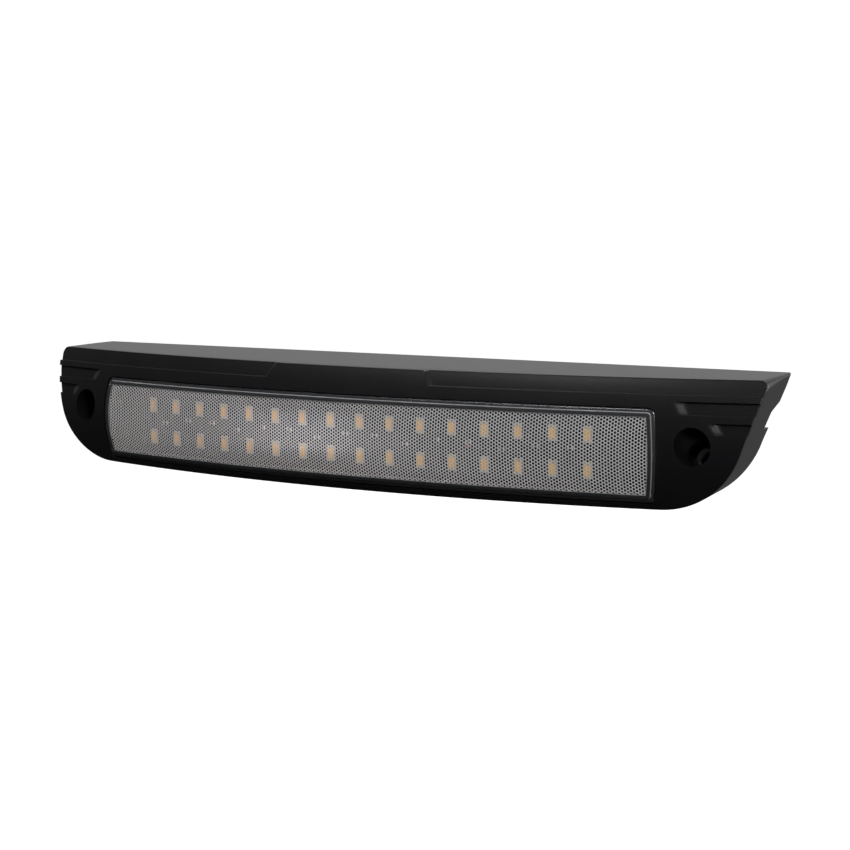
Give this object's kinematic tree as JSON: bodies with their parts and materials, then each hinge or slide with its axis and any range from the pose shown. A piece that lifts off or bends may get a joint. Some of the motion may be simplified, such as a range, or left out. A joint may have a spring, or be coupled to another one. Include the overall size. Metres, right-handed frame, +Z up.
{
  "type": "third brake light",
  "caption": "Long surface-mounted vehicle brake light with a bowed black housing, a clear prismatic lens over rows of diodes, and counterbored screw holes at its ends.",
  "frame": {"origin": "middle of the rear mounting face, on the gasket, midway along the lamp", "axes": "+X to the right as seen from the front, +Y from the face towards the vehicle, +Z up as fitted; the mounting face leans 24 degrees from upright"},
  "size_m": [0.304, 0.0521, 0.0441],
  "materials": {
    "housing_black": "fine spark-eroded texture, satin",
    "clear_lens": "clear moulded acrylic, hexagonal prisms inside",
    "sealant": "cured sealant",
    "board_dark": "dark solder mask",
    "pad_grey": "silicone pad",
    "anodised_aluminium": "bent sheet, black anodised",
    "cover_black": "moulded, matt",
    "foam": "closed-cell foam",
    "socket_black": "glass-filled nylon",
    "tinned_brass": "tinned",
    "vent_grey": "moulded, matt",
    "wire_red": "insulation",
    "wire_black": "insulation",
    "led_package": "cream package with yellow phosphor",
    "screw_steel": "zinc plated"
  },
  "bodies": {
    "root": {"housing": "housing_black", "lens": "clear_lens", "lens_seal": "sealant", "led_board": "board_dark", "led_upper_01": "led_package", "led_upper_02": "led_package", "led_upper_03": "led_package", "led_upper_04": "led_package", "led_upper_05": "led_package", "led_upper_06": "led_package", "led_upper_07": "led_package", "led_upper_08": "led_package", "led_upper_09": "led_package", "led_upper_10": "led_package", "led_upper_11": "led_package", "led_upper_12": "led_package", "led_upper_13": "led_package", "led_upper_14": "led_package", "led_upper_15": "led_package", "led_upper_16": "led_package", "led_lower_01": "led_package", "led_lower_02": "led_package", "led_lower_03": "led_package", "led_lower_04": "led_package", "led_lower_05": "led_package", "led_lower_06": "led_package", "led_lower_07": "led_package", "led_lower_08": "led_package", "led_lower_09": "led_package", "led_lower_10": "led_package", "led_lower_11": "led_package", "led_lower_12": "led_package", "led_lower_13": "led_package", "led_lower_14": "led_package", "led_lower_15": "led_package", "led_lower_16": "led_package", "thermal_pad": "pad_grey", "led_carrier": "anodised_aluminium", "carrier_screw_1": "screw_steel", "carrier_screw_2": "screw_steel", "carrier_screw_3": "screw_steel", "carrier_screw_4": "screw_steel", "rear_cover": "cover_black", "cover_screw_1": "screw_steel", "cover_screw_2": "screw_steel", "cover_screw_3": "screw_steel", "cover_screw_4": "screw_steel", "cover_screw_5": "screw_steel", "cover_screw_6": "screw_steel", "mounting_gasket": "foam", "connector_socket": "socket_black", "terminal_pin_1": "tinned_brass", "terminal_pin_2": "tinned_brass", "lead_red": "wire_red", "lead_black": "wire_black", "breather_vent": "vent_grey"}
  },
  "joints": []
}
